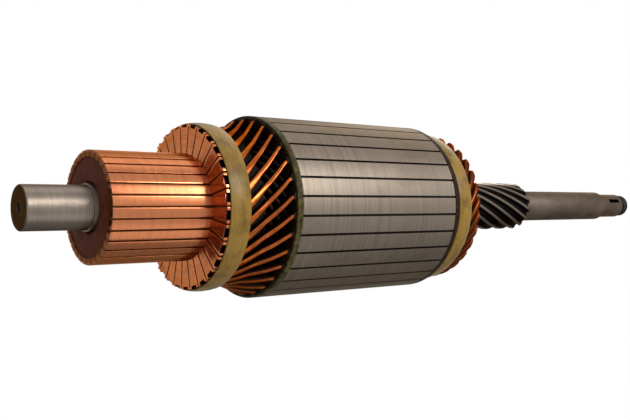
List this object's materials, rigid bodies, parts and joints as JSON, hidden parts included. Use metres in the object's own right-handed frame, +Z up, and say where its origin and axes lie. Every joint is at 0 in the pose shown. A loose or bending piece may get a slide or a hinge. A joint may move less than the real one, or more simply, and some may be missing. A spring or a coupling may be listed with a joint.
{
  "type": "motor armature",
  "caption": "Wound starter-motor armature: slotted laminated core with copper hairpin winding, riser commutator, banded ends and a shaft with a helical spline.",
  "frame": {"origin": "middle of the commutator journal, on the shaft axis", "axes": "+X along the shaft from the commutator end to the drive end, +Z up"},
  "size_m": [0.4394, 0.089, 0.089],
  "materials": {
    "shaft_steel": "ground",
    "core_steel": "turned",
    "end_board": "varnished",
    "slot_paper": "varnished",
    "winding_copper": "varnished",
    "commutator_copper": "turned",
    "mica": "matte",
    "resin": "satin",
    "glass_band": "glossy"
  },
  "bodies": {
    "root": {"shaft": "shaft_steel", "lamination_stack": "core_steel", "end_insulator_commutator_side": "end_board", "end_insulator_drive_side": "end_board", "slot_liners": "slot_paper", "armature_coils": "winding_copper", "layer_insulation_commutator_side": "slot_paper", "layer_insulation_drive_side": "slot_paper", "mica_separators": "mica", "commutator_moulding": "resin", "commutator_end_band": "glass_band", "drive_end_band": "glass_band", "commutator_segment_01": "commutator_copper", "commutator_segment_02": "commutator_copper", "commutator_segment_03": "commutator_copper", "commutator_segment_04": "commutator_copper", "commutator_segment_05": "commutator_copper", "commutator_segment_06": "commutator_copper", "commutator_segment_07": "commutator_copper", "commutator_segment_08": "commutator_copper", "commutator_segment_09": "commutator_copper", "commutator_segment_10": "commutator_copper", "commutator_segment_11": "commutator_copper", "commutator_segment_12": "commutator_copper", "commutator_segment_13": "commutator_copper", "commutator_segment_14": "commutator_copper", "commutator_segment_15": "commutator_copper", "commutator_segment_16": "commutator_copper", "commutator_segment_17": "commutator_copper", "commutator_segment_18": "commutator_copper", "commutator_segment_19": "commutator_copper", "commutator_segment_20": "commutator_copper", "commutator_segment_21": "commutator_copper", "commutator_segment_22": "commutator_copper", "commutator_segment_23": "commutator_copper", "commutator_segment_24": "commutator_copper", "commutator_segment_25": "commutator_copper", "commutator_segment_26": "commutator_copper", "commutator_segment_27": "commutator_copper", "commutator_segment_28": "commutator_copper", "commutator_segment_29": "commutator_copper", "commutator_segment_30": "commutator_copper", "commutator_segment_31": "commutator_copper"}
  },
  "joints": []
}
